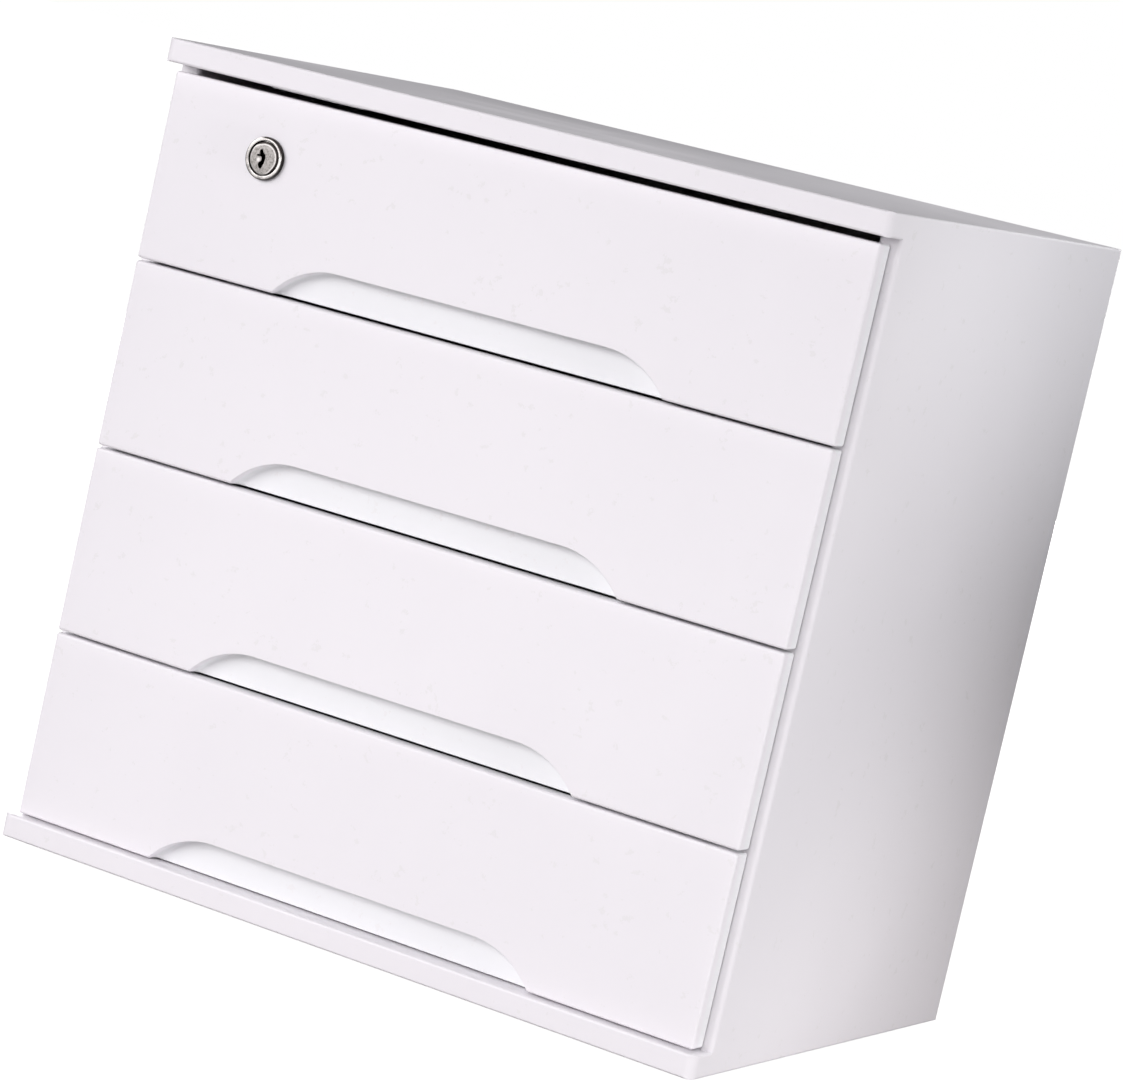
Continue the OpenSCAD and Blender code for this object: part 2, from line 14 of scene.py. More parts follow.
import bmesh
import bpy
import numpy as np
from mathutils import Matrix, Vector


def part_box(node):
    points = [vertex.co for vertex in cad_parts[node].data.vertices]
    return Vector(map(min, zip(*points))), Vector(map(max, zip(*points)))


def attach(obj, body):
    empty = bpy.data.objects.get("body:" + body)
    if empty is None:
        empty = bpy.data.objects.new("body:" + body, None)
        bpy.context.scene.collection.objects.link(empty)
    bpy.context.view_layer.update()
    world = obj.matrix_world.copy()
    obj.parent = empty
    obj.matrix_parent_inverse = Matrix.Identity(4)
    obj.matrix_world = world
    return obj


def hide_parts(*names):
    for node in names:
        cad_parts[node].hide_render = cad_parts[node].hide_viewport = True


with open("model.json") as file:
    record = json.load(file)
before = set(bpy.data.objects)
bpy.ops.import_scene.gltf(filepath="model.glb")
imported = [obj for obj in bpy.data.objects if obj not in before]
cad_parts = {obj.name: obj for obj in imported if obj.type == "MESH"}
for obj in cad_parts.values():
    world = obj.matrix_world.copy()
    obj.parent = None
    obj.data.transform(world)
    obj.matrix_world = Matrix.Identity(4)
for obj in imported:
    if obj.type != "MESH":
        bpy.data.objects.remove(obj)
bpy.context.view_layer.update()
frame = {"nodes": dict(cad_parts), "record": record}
nodes = frame["nodes"]
MM = 0.001

# %% [markdown]
# ## Camera
#
# The photograph looks at the right-hand corner of the cabinet from a little above, through
# a long lens, and the picture is rolled by some thirteen degrees. A camera is its place, the
# direction it looks in, and its roll about that direction, so we keep those three. Euler
# angles would work as well, but they say less to a reader.

# %% Camera
CAMERA_PLACE = Vector((0.8383, -1.5943, 0.3931))
CAMERA_LOOKS = Vector((-0.4621, 0.8786, -0.1206))
CAMERA_ROLL = math.radians(12.805)
CAMERA_LENS = 136.43

camera = bpy.data.objects.new("camera", bpy.data.cameras.new("camera"))
bpy.context.scene.collection.objects.link(camera)
camera.data.lens = CAMERA_LENS
camera.data.sensor_width = 36.0
camera.data.clip_start = 0.05
upright = CAMERA_LOOKS.to_track_quat("-Z", "Y").to_matrix().to_4x4()
camera.matrix_world = Matrix.Translation(CAMERA_PLACE) @ upright @ Matrix.Rotation(CAMERA_ROLL, 4, "Z")
bpy.context.scene.camera = camera
print("camera: lens", CAMERA_LENS, "mm at", tuple(round(v, 3) for v in CAMERA_PLACE))

# %% [markdown]
# ## Studio
#
# White on white is a matter of light. The camera should see plain white behind the cabinet,
# while the cabinet itself is lit by a dimmer, slightly cool surround, so that its top stays
# grey. One large soft light from the front left makes the drawer fronts the brightest
# faces, and a small card beside it shows in the ring of the lock.
#
# The side and the top are not evenly lit in the photograph: the side is brightest near its
# front edge and at its rear corners, the top near both ends. Soft spots that leave no glare
# add those pools of light. A long low light behind the cabinet serves the views from there.

# %% Studio
scene = bpy.context.scene
scene.view_settings.view_transform = "Standard"


def shader_node(tree, kind, inputs=None, **properties):
    """Adds one shader node; inputs take plain values or the output socket of another node."""
    made = tree.nodes.new("ShaderNode" + kind)
    for name, value in properties.items():
        setattr(made, name, value)
    for name, value in (inputs or {}).items():
        if isinstance(value, bpy.types.NodeSocket):
            tree.links.new(value, made.inputs[name])
        else:
            made.inputs[name].default_value = value
    return made


def set_up(data, place, aims_at, power, color):
    """Puts a light at a place and turns it to face a point."""
    data.energy = power
    data.color = color
    made = bpy.data.objects.new(data.name, data)
    scene.collection.objects.link(made)
    made.location = place
    made.rotation_euler = (Vector(aims_at) - Vector(place)).to_track_quat("-Z", "Y").to_euler()
    return made


def light(name, place, aims_at, size, power, color):
    """A rectangular area light of (width, height) metres."""
    data = bpy.data.lights.new(name, "AREA")
    data.shape = "RECTANGLE"
    data.size, data.size_y = size
    return set_up(data, place, aims_at, power, color)


def spot(name, place, aims_at, cone, power, color):
    """A spot light with a wholly soft pool and no glare; cone is its full angle in degrees."""
    data = bpy.data.lights.new(name, "SPOT")
    data.spot_size = math.radians(cone)
    data.spot_blend = 1.0
    data.shadow_soft_size = 0.06
    made = set_up(data, place, aims_at, power, color)
    made.visible_glossy = False
    return made


world = bpy.data.worlds.new("studio")
world.use_nodes = True
scene.world = world
world.node_tree.nodes.clear()
seen = shader_node(world.node_tree, "Background", {"Color": (1, 1, 1, 1), "Strength": 1.0})
felt = shader_node(world.node_tree, "Background", {"Color": (0.97, 0.97, 1, 1), "Strength": 0.19})
eye = shader_node(world.node_tree, "LightPath")
either = shader_node(world.node_tree, "MixShader", {
    0: eye.outputs["Is Camera Ray"], 1: felt.outputs[0], 2: seen.outputs[0]})
shader_node(world.node_tree, "OutputWorld", {"Surface": either.outputs[0]})

light("front_key", (-0.95, -2.4, 1.1), (0.05, -0.1, 0.18), (3.6, 1.3), 65.6, (1.0, 0.98, 1.0))
light("lock_card", (-1.55, -2.35, 0.2), (-0.11, -0.115, 0.3), (1.0, 0.6), 3.0, (1.0, 0.99, 1.0))
spot("front_low", (0.2, -2.0, 0.25), (0.06, -0.115, -0.06), 26.0, 20.0, (1.0, 0.985, 0.97))
spot("side_front", (1.1, -0.2, 0.18), (0.17, -0.24, 0.17), 48.0, 23.4, (1.0, 0.99, 1.0))
spot("side_above", (1.1, 0.10, 0.60), (0.17, 0.10, 0.45), 34.0, 18.4, (0.97, 0.985, 1.0))
spot("side_below", (1.1, 0.10, 0.06), (0.17, 0.10, -0.085), 36.0, 16.5, (1.0, 0.97, 0.965))
spot("top_rear", (0.45, 0.75, 1.0), (0.19, 0.05, 0.348), 30.0, 18.0, (1.0, 1.0, 1.0))
spot("top_left", (-0.45, 0.5, 0.95), (-0.11, -0.08, 0.348), 28.0, 7.8, (1.0, 1.0, 1.0))
light("back_fill", (-1.3, 2.2, 0.18), (-0.05, 0.0, 0.18), (1.6, 0.3), 26.0, (1.0, 0.99, 1.0))

# %% [markdown]
# ## Surfaces from arrays
#
# Each new piece is a surface over two parameters: a block of points with rows and columns.
# Neighbouring points make four-sided faces, and both directions may close on themselves.
# Working the faces out as whole index arrays is quick and leaves no loop over vertices.

# %% Mesh helpers
def face_grid(rows, columns, close_rows, close_columns):
    """Corner numbers of the faces between neighbouring points of a (rows, columns) grid."""
    numbers = np.arange(rows * columns).reshape(rows, columns)
    if close_rows:
        numbers = np.vstack([numbers, numbers[:1]])
    if close_columns:
        numbers = np.hstack([numbers, numbers[:, :1]])
    corners = (numbers[:-1, :-1], numbers[1:, :-1], numbers[1:, 1:], numbers[:-1, 1:])
    return np.stack(corners, axis=-1).reshape(-1, 4)


def surface(name, points, close_rows=False, close_columns=False, caps=False):
    """A mesh object over a (rows, columns, 3) block of points; caps fill its first and last row.

    A closed shell whose faces enclose a negative volume is inside out, and is turned.
    """
    rows, columns = points.shape[:2]
    faces = face_grid(rows, columns, close_rows, close_columns).tolist()
    if caps:
        first = np.arange(columns)
        faces += [first.tolist(), (first[::-1] + (rows - 1) * columns).tolist()]
    mesh = bpy.data.meshes.new(name)
    mesh.from_pydata(points.reshape(-1, 3).tolist(), [], faces)
    mesh.update()
    shell = bmesh.new()
    shell.from_mesh(mesh)
    if shell.calc_volume(signed=True) < 0:
        mesh.flip_normals()
    shell.free()
    made = bpy.data.objects.new(name, mesh)
    scene.collection.objects.link(made)
    return made


def smooth_shade(piece, sharp_above):
    """Shades a piece smooth, with a crisp edge where its faces meet at more than this angle."""
    piece.data.shade_smooth()
    piece.data.set_sharp_from_angle(angle=math.radians(sharp_above))
    return piece


def arc(count, start=0.0, end=90.0):
    """Evenly spaced angles in radians from start to end in degrees, as an array."""
    return np.radians(np.linspace(start, end, count))


print("mesh helpers ready")

# %% [markdown]
# ## Floor
#
# The cabinet stands on a plain pale floor. To the camera the floor glows as white as the
# background, so it shows no shadow, as in the photograph. To all other rays it is dull paper
# that throws a little light back up.

# %% Floor
FLOOR_REACH = 12.0
reach = np.linspace(-FLOOR_REACH, FLOOR_REACH, 2)
floor_x, floor_y = np.meshgrid(reach, reach, indexing="ij")
floor = surface("floor", np.stack([floor_x, floor_y, np.zeros_like(floor_x)], axis=-1))
paper = bpy.data.materials.new("floor_paper")
paper.use_nodes = True
paper_bsdf = paper.node_tree.nodes["Principled BSDF"]
paper_bsdf.inputs["Base Color"].default_value = (0.38, 0.37, 0.37, 1)
paper_bsdf.inputs["Roughness"].default_value = 0.9
paper_bsdf.inputs["Emission Color"].default_value = (1, 1, 1, 1)
glow = shader_node(paper.node_tree, "LightPath").outputs["Is Camera Ray"]
paper.node_tree.links.new(glow, paper_bsdf.inputs["Emission Strength"])
floor.data.materials.append(paper)
print("floor:", len(floor.data.polygons), "face")

# %% [markdown]
# ## Effects as node groups
#
# A finish is more than a colour. The lacquer has a fine orange peel and faint handling
# marks, cut foam board shows cells, and plated metal has fine lines. An effect that several
# finishes share is a node group: it takes named numbers and gives back masks and heights.
# The shaders stay in the materials, because only there can an export read them.

# %% Group helper
SOCKETS = {float: "NodeSocketFloat", tuple: "NodeSocketVector"}


def effect(name, inputs, outputs):
    """An empty node group. Returns its tree, its inputs' sockets and its output node."""
    tree = bpy.data.node_groups.new(name, "ShaderNodeTree")
    for label, value in inputs.items():
        made = tree.interface.new_socket(label, in_out="INPUT", socket_type=SOCKETS[type(value)])
        made.default_value = value
    for label in outputs:
        tree.interface.new_socket(label, in_out="OUTPUT", socket_type="NodeSocketFloat")
    entry = tree.nodes.new("NodeGroupInput")
    return tree, entry.outputs, tree.nodes.new("NodeGroupOutput")


def maths(tree, operation, first, second=0.0, clamp=False):
    """The output of one Math node, whose operation is named as in the shader editor."""
    made = shader_node(tree, "Math", {0: first, 1: second}, operation=operation, use_clamp=clamp)
    return made.outputs[0]


def ramp(tree, value, low, high):
    """0 below low, 1 above high and an S-curve between them."""
    made = shader_node(tree, "MapRange", {
        "Value": value, "From Min": low, "From Max": high}, interpolation_type="SMOOTHSTEP")
    return made.outputs["Result"]


def use_effect(tree, name, inputs):
    """Places a node group in a material, and returns its outputs."""
    made = tree.nodes.new("ShaderNodeGroup")
    made.node_tree = bpy.data.node_groups[name]
    for label, value in inputs.items():
        if isinstance(value, bpy.types.NodeSocket):
            tree.links.new(value, made.inputs[label])
        else:
            made.inputs[label].default_value = value
    return made.outputs


print("group helpers ready")

# %% [markdown]
# ### Sprayed lacquer
#
# Sprayed paint dries with shallow dimples two or three millimetres apart. Two noises of
# different scale make the height, a third, broad one says where hands have dulled it, and a
# fourth lets the tone wander.

# %% Effect: lacquer
tree, given, result = effect("sprayed_lacquer", {"Position": (0, 0, 0), "Peel": 420.0, "Smudge": 14.0},
                             ["Height", "Dullness", "Tone"])
dimples = shader_node(tree, "TexNoise", {
    "Vector": given["Position"], "Scale": given["Peel"], "Detail": 2.0, "Roughness": 0.4})
sag = shader_node(tree, "TexNoise", {"Vector": given["Position"], "Scale": 38.0, "Detail": 1.0})
hands = shader_node(tree, "TexNoise", {
    "Vector": given["Position"], "Scale": given["Smudge"], "Detail": 5.0, "Roughness": 0.62,
    "Distortion": 0.6})
tone = shader_node(tree, "TexNoise", {"Vector": given["Position"], "Scale": 5.0, "Detail": 2.0})
height = maths(tree, "MULTIPLY_ADD", sag.outputs["Fac"], 2.0)
tree.links.new(dimples.outputs["Fac"], height.node.inputs[2])
tree.links.new(height, result.inputs["Height"])
tree.links.new(ramp(tree, hands.outputs["Fac"], 0.42, 0.72), result.inputs["Dullness"])
tree.links.new(ramp(tree, tone.outputs["Fac"], 0.3, 0.7), result.inputs["Tone"])
print("effect:", tree.name)

# %% [markdown]
# ### Rubbed edges
#
# Paint wears first along the outer edges of a board. A board is a box, so the distance to
# its nearest edge follows from the position alone: of the three distances to the box's
# sides, the smallest is the face we are on and the middle one is how far the edge is.

# %% Effect: rubbed edges
tree, given, result = effect("rubbed_edges", {
    "Position": (0, 0, 0), "Low": (0, 0, 0), "High": (1, 1, 1), "Width": 0.003}, ["Mask"])
above = shader_node(tree, "VectorMath", {0: given["Position"], 1: given["Low"]}, operation="SUBTRACT")
below = shader_node(tree, "VectorMath", {0: given["High"], 1: given["Position"]}, operation="SUBTRACT")
nearest = shader_node(tree, "VectorMath", {
    0: above.outputs[0], 1: below.outputs[0]}, operation="MINIMUM")
away = shader_node(tree, "SeparateXYZ", {0: nearest.outputs[0]}).outputs
smaller = maths(tree, "MINIMUM", away["X"], away["Y"])
larger = maths(tree, "MAXIMUM", away["X"], away["Y"])
middle = maths(tree, "MAXIMUM", smaller, maths(tree, "MINIMUM", larger, away["Z"]))
patches = shader_node(tree, "TexNoise", {
    "Vector": given["Position"], "Scale": 160.0, "Detail": 4.0, "Roughness": 0.7}).outputs["Fac"]
spread = maths(tree, "MULTIPLY", given["Width"], ramp(tree, patches, 0.35, 0.75))
mask = maths(tree, "SUBTRACT", 1.0, maths(tree, "DIVIDE", middle, spread), clamp=True)
tree.links.new(mask, result.inputs["Mask"])
print("effect:", tree.name)

# %% [markdown]
# ### Specks, cells and drawn lines
#
# Three small ones. Specks are single dust motes: a Voronoi cell shows one only if its
# random value is high enough. Cells are the open pores of cut foam board. Drawn lines are
# noise stretched along one direction, as on rolled or brushed metal.

# %% Effects: specks, cells, lines
tree, given, result = effect("dust_specks", {
    "Position": (0, 0, 0), "Spacing": 160.0, "Size": 0.07, "Share": 0.9}, ["Mask"])
cell = shader_node(tree, "TexVoronoi", {"Vector": given["Position"], "Scale": given["Spacing"]})
chance = shader_node(tree, "SeparateColor", {0: cell.outputs["Color"]}).outputs[0]
shown = maths(tree, "GREATER_THAN", chance, given["Share"])
speck = maths(tree, "LESS_THAN", cell.outputs["Distance"], given["Size"])
tree.links.new(maths(tree, "MULTIPLY", shown, speck), result.inputs["Mask"])

tree, given, result = effect("foam_cells", {"Position": (0, 0, 0), "Scale": 1400.0}, ["Height", "Pores"])
pores = shader_node(tree, "TexVoronoi", {"Vector": given["Position"], "Scale": given["Scale"]})
tree.links.new(pores.outputs["Distance"], result.inputs["Height"])
tree.links.new(ramp(tree, pores.outputs["Distance"], 0.5, 0.05), result.inputs["Pores"])

tree, given, result = effect("drawn_lines", {
    "Position": (0, 0, 0), "Stretch": (1, 1, 1), "Scale": 900.0}, ["Height", "Shade"])
along = shader_node(tree, "VectorMath", {0: given["Position"], 1: given["Stretch"]}, operation="MULTIPLY")
lines = shader_node(tree, "TexNoise", {
    "Vector": along.outputs[0], "Scale": given["Scale"], "Detail": 4.0, "Roughness": 0.6})
tree.links.new(lines.outputs["Fac"], result.inputs["Height"])
tree.links.new(ramp(tree, lines.outputs["Fac"], 0.3, 0.7), result.inputs["Shade"])
print("effects:", [group.name for group in bpy.data.node_groups])

# %% [markdown]
# ## Finishes
#
# A finish is one material. Its constants sit on the Principled shader's own sockets, and
# what changes over the surface comes from the effects. Mixing two colours by a mask and
# turning a height into a bump are the two steps that every finish repeats.

# %% Finish helpers
def finish(name, **sockets):
    """A material with a bare Principled shader. Returns it with its tree, shader and position."""
    made = bpy.data.materials.new(name)
    made.use_nodes = True
    tree = made.node_tree
    shader = tree.nodes["Principled BSDF"]
    for label, value in sockets.items():
        shader.inputs[label.replace("_", " ")].default_value = value
    return made, tree, shader, shader_node(tree, "TexCoord").outputs["Object"]


def blend_color(tree, amount, first, second):
    """Mixes two colours by a mask; a colour may be a value or a socket."""
    made = shader_node(tree, "Mix", {0: amount, 6: first, 7: second}, data_type="RGBA")
    return made.outputs[2]


def blend_value(tree, amount, first, second):
    """Takes a mask from 0 and 1 to two values."""
    made = shader_node(tree, "MapRange", {"Value": amount, "To Min": first, "To Max": second})
    return made.outputs["Result"]


def bump(tree, shader, height, distance, strength=1.0):
    """Turns a height into the shader's normal; distance is the height's full swing in metres."""
    made = shader_node(tree, "Bump", {"Height": height, "Distance": distance, "Strength": strength})
    tree.links.new(made.outputs["Normal"], shader.inputs["Normal"])


print("finish helpers ready")

# %% [markdown]
# ### White lacquered board
#
# The visible boards are foam board with a satin white lacquer, a touch cool. Tone changes
# by a few percent over a hand's width, edges are rubbed to a duller grey, and the gloss
# breaks where hands have been. In the pulls the colour is a little darker and cooler: painted shade.
# Each board gets its own copy, because rubbed edges need to know where that board ends.

# %% Finish: lacquered board
LACQUER_LIGHT = (0.885, 0.862, 0.892, 1)
LACQUER_SHADE = (0.868, 0.845, 0.876, 1)
LACQUER_WORN = (0.80, 0.785, 0.79, 1)
LACQUER_DUST = (0.74, 0.72, 0.71, 1)
PULL_SHADE_TONE = (0.848, 0.853, 0.868, 1)


def lacquered_board(name, low, high, routed=False):
    """Satin white lacquer on the board from low to high; painted shade in a routed pull: a little darker
    and cooler.
    """
    made, tree, shader, place = finish(name, Coat_Roughness=0.25, Specular_IOR_Level=0.45)
    lacquer = use_effect(tree, "sprayed_lacquer", {"Position": place})
    worn = use_effect(tree, "rubbed_edges", {
        "Position": place, "Low": low, "High": high, "Width": 0.0016})["Mask"]
    dust = use_effect(tree, "dust_specks", {"Position": place, "Spacing": 240.0, "Share": 0.96})["Mask"]
    color = blend_color(tree, lacquer["Tone"], LACQUER_LIGHT, LACQUER_SHADE)
    if routed:
        # Painted shade in a routed pull: deeper than 2.5 mm the colour turns a little darker and cooler,
        # fully so by 5.5 mm.
        inwards = shader_node(tree, "SeparateXYZ", {0: place}).outputs["Y"]
        pool = ramp(tree, inwards, low[1] + 2.5 * MM, low[1] + 5.5 * MM)
        color = blend_color(tree, pool, color, PULL_SHADE_TONE)
    color = blend_color(tree, maths(tree, "MULTIPLY", worn, 0.5), color, LACQUER_WORN)
    color = blend_color(tree, maths(tree, "MULTIPLY", dust, 0.06), color, LACQUER_DUST)
    tree.links.new(color, shader.inputs["Base Color"])
    gloss = maths(tree, "ADD", blend_value(tree, lacquer["Dullness"], 0.30, 0.44),
                  maths(tree, "MULTIPLY", worn, 0.15))
    tree.links.new(gloss, shader.inputs["Roughness"])
    bump(tree, shader, lacquer["Height"], 0.00002)
    return made


def corners_of(*names):
    """Lowest and highest corner of these CAD nodes together, as tuples."""
    boxes = np.array([[tuple(corner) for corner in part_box(name)] for name in names])
    return tuple(boxes[:, 0].min(0)), tuple(boxes[:, 1].max(0))


def wear(piece, material):
    """Gives a piece this one material."""
    piece.data.materials.clear()
    piece.data.materials.append(material)


# top and base lie flush on the sides, so the worn edges are those of the four together
SHELL = ("top_panel", "base_panel", "left_side_panel", "right_side_panel")
for name in SHELL:
    wear(nodes[name], lacquered_board("lacquer_" + name, *corners_of(*SHELL)))
print("lacquered:", [m.name for m in bpy.data.materials if m.name.startswith("lacquer")])

# %% [markdown]
# ### Inner board, strips, wood, rubber
#
# Inside the cabinet nothing is sprayed. The boxes and the back are plain foam board with
# its cells showing, the runner strips are smooth and rubbed along their length, the
# dowels are bare beech, and the pads are soft rubber.

# %% Finishes: inner board, strips, wood, rubber
def inner_board():
    """Plain foam board: dull, a little warmer than the lacquer, with fine open cells."""
    made, tree, shader, place = finish("inner_board", Roughness=0.6, Specular_IOR_Level=0.3)
    cells = use_effect(tree, "foam_cells", {"Position": place})
    lacquer = use_effect(tree, "sprayed_lacquer", {"Position": place, "Smudge": 22.0})
    color = blend_color(tree, lacquer["Tone"], (0.80, 0.79, 0.78, 1), (0.76, 0.75, 0.735, 1))
    color = blend_color(tree, maths(tree, "MULTIPLY", cells["Pores"], 0.25), color, (0.62, 0.61, 0.6, 1))
    tree.links.new(color, shader.inputs["Base Color"])
    tree.links.new(blend_value(tree, lacquer["Dullness"], 0.5, 0.72), shader.inputs["Roughness"])
    bump(tree, shader, cells["Height"], 0.00004)
    return made


def runner_strip():
    """Waxed plastic strip, with fine lines along Y where the drawers have rubbed it."""
    made, tree, shader, place = finish("runner_strip", Specular_IOR_Level=0.5)
    lines = use_effect(tree, "drawn_lines", {"Position": place, "Stretch": (1, 0.02, 1)})
    color = blend_color(tree, lines["Shade"], (0.74, 0.72, 0.69, 1), (0.80, 0.785, 0.76, 1))
    tree.links.new(color, shader.inputs["Base Color"])
    tree.links.new(blend_value(tree, lines["Shade"], 0.26, 0.42), shader.inputs["Roughness"])
    bump(tree, shader, lines["Height"], 0.00003)
    return made


def beech():
    """Bare beech: rings stretched along Z, with short dark flecks."""
    made, tree, shader, place = finish("beech", Roughness=0.65)
    lines = use_effect(tree, "drawn_lines", {"Position": place, "Stretch": (1, 1, 0.06), "Scale": 1500.0})
    color = blend_color(tree, lines["Shade"], (0.50, 0.31, 0.16, 1), (0.66, 0.46, 0.27, 1))
    tree.links.new(color, shader.inputs["Base Color"])
    bump(tree, shader, lines["Height"], 0.00006)
    return made


def soft_rubber():
    """Matt dark grey rubber with a fine moulded grain and pale dust."""
    made, tree, shader, place = finish("soft_rubber", Roughness=0.8, Specular_IOR_Level=0.3)
    grain = shader_node(tree, "TexNoise", {"Vector": place, "Scale": 2200.0, "Detail": 3.0})
    dust = use_effect(tree, "sprayed_lacquer", {"Position": place, "Smudge": 120.0})["Dullness"]
    color = blend_color(tree, dust, (0.045, 0.045, 0.048, 1), (0.11, 0.108, 0.105, 1))
    tree.links.new(color, shader.inputs["Base Color"])
    tree.links.new(blend_value(tree, dust, 0.7, 0.92), shader.inputs["Roughness"])
    bump(tree, shader, grain.outputs["Fac"], 0.00005)
    return made


INNER, STRIP, BEECH, RUBBER = inner_board(), runner_strip(), beech(), soft_rubber()
print("finishes:", [m.name for m in (INNER, STRIP, BEECH, RUBBER)])

# %% [markdown]
# ### Nickel and zinc
#
# The lock is nickel plated over a turned surface, with fine scratches and a slight warm
# cast. Screws, pins, nut, cam and strike are zinc plated: a duller, bluer grey whose tone
# wanders in small clouds. Both are metals, so the base colour is the colour of the gloss.
#
# Painted shade and painted highlights on a lock go round with it. So one effect tells how far
# a point is from the lock's axis and how far out of its face, and from -1 to 1 how much it lies
# towards a chosen side.

# %% Effect: distance from an axis
tree, given, result = effect("lock_axis", {
    "Position": (0, 0, 0), "Axis": (0, 0, 0), "Toward": (0, 0, 1)}, ["Radius", "Out", "Facing"])
offset = shader_node(tree, "VectorMath", {0: given["Position"], 1: given["Axis"]}, operation="SUBTRACT")
parts = shader_node(tree, "SeparateXYZ", {0: offset.outputs[0]}).outputs
flat = shader_node(tree, "CombineXYZ", {0: parts["X"], 2: parts["Z"]})
length = shader_node(tree, "VectorMath", {0: flat.outputs[0]}, operation="LENGTH")
tree.links.new(length.outputs["Value"], result.inputs["Radius"])
tree.links.new(maths(tree, "MULTIPLY", parts["Y"], -1.0), result.inputs["Out"])
unit = shader_node(tree, "VectorMath", {0: flat.outputs[0]}, operation="NORMALIZE")
facing = shader_node(tree, "VectorMath", {0: unit.outputs[0], 1: given["Toward"]}, operation="DOT_PRODUCT")
tree.links.new(facing.outputs["Value"], result.inputs["Facing"])
print("effect:", tree.name)

# %% [markdown]
# The lock's colour carries painted shade and painted reflection: dark on the wall and the upper
# rim of the ring, in the groove and on the edge of the plug, and darker on the ring's lower left.
# It also carries painted highlights: a bright spot beside the keyway and a bright band near the
# plug's edge. All of it is fixed to the metal, so it stays the same in every view.
#
# Each of these is a band of radius about the axis, or of distance out of the face. It is
# written as the value where it starts and the value where it is full, and the side that we
# are on makes it stronger or weaker.

# %% Finishes: nickel and zinc
LOCK_X, LOCK_FACE_Y, LOCK_Z = -113.2 * MM, -115.0 * MM, 308.5 * MM
# Painted shade and painted reflection on the lock share one dark colour; the bands below say where they
# are painted, and where the painted highlights are.
PAINTED_SHADE = (0.035, 0.030, 0.028, 1)
RING_WALL_SHADE = 8.8 * MM, 8.95 * MM
RING_RIM_REFLECTION = 8.05 * MM, 8.3 * MM
RING_EDGE_REFLECTION = 8.55 * MM, 8.8 * MM
RING_GROOVE_SHADE = 7.45 * MM, 7.3 * MM
RING_FRONT = 0.3 * MM, 0.5 * MM
PLUG_GLINT_IN = 5.2 * MM, 5.6 * MM
PLUG_GLINT_OUT = 6.05 * MM, 5.9 * MM
PLUG_EDGE_SHADE = 5.95 * MM, 6.15 * MM
PLUG_EDGE_SHIFT = 0.9 * MM
PLUG_RECESS_SHADE = 1.2 * MM, 1.0 * MM
KEY_GLINT = 1.2 * MM, 0.3 * MM
KEY_GLINT_PLACE = LOCK_X - 2.5 * MM, LOCK_FACE_Y, LOCK_Z - 0.95 * MM


def nickel(name, light_tone, dark_tone, roughness, grit, shaded):
    """Plated metal between two tones; its grain is grit metres deep, and its painted shade and painted
    reflection lie towards shaded degrees.
    """
    made, tree, shader, place = finish(name, Metallic=1.0)
    lines = use_effect(tree, "drawn_lines", {"Position": place, "Stretch": (1, 1, 0.15), "Scale": 2600.0})
    grain = use_effect(tree, "sprayed_lacquer", {"Position": place, "Peel": 3200.0, "Smudge": 900.0})
    color = blend_color(tree, grain["Dullness"], light_tone, dark_tone)
    rough = maths(tree, "ADD", blend_value(tree, grain["Dullness"], roughness, roughness + 0.12),
                  maths(tree, "MULTIPLY", lines["Shade"], 0.05))
    tree.links.new(rough, shader.inputs["Roughness"])
    bump(tree, shader, grain["Height"], grit)
    where = use_effect(tree, "lock_axis", {
        "Position": place, "Axis": (LOCK_X, LOCK_FACE_Y, LOCK_Z),
        "Toward": (math.cos(math.radians(shaded)), 0, math.sin(math.radians(shaded)))})
    return made, tree, shader, place, color, where


def paint_shade(tree, shader, color, mask):
    """Darkens a metal by a mask: painted shade and painted reflection."""
    tree.links.new(blend_color(tree, mask, color, PAINTED_SHADE), shader.inputs["Base Color"])


POLISHED, tree, shader, place, color, where = nickel(
    "nickel_polished", (0.80, 0.775, 0.75, 1), (0.62, 0.59, 0.56, 1), 0.14, 0.000002, 62)
# Painted shade and painted reflection on the ring: its outer wall all round, the rim towards the upper
# right, the outer edge, and the groove, half as dark on the lower left.
wall = ramp(tree, where["Radius"], *RING_WALL_SHADE)
rim_reflection = maths(tree, "MULTIPLY", ramp(tree, where["Radius"], *RING_RIM_REFLECTION),
                 ramp(tree, where["Facing"], 0.5, 0.85))
edge_reflection = maths(tree, "MULTIPLY", ramp(tree, where["Radius"], *RING_EDGE_REFLECTION), 0.6)
in_front = ramp(tree, where["Out"], *RING_FRONT)
groove = maths(tree, "MULTIPLY", ramp(tree, where["Radius"], *RING_GROOVE_SHADE), in_front)
upper = ramp(tree, where["Facing"], -0.6, 0.2)
groove = maths(tree, "MULTIPLY", groove, blend_value(tree, upper, 0.5, 1.0))
patches = use_effect(tree, "sprayed_lacquer", {"Position": place, "Smudge": 330.0})["Dullness"]
# Painted shade: the ring's colour turns darker towards its lower left, in patches.
lower = ramp(tree, where["Facing"], 0.5, -0.5)
lower_left_shade = maths(tree, "MULTIPLY", lower, blend_value(tree, patches, 0.55, 1.0))
color = blend_color(tree, lower_left_shade, color, (0.17, 0.162, 0.158, 1))
rim_reflections = maths(tree, "MAXIMUM", rim_reflection, edge_reflection)
paint_shade(tree, shader, color, maths(tree, "MAXIMUM", maths(tree, "MAXIMUM", wall, rim_reflections), groove))

BLASTED, tree, shader, place, color, where = nickel(
    "nickel_blasted", (0.33, 0.315, 0.30, 1), (0.12, 0.112, 0.105, 1), 0.30, 0.00004, 35)
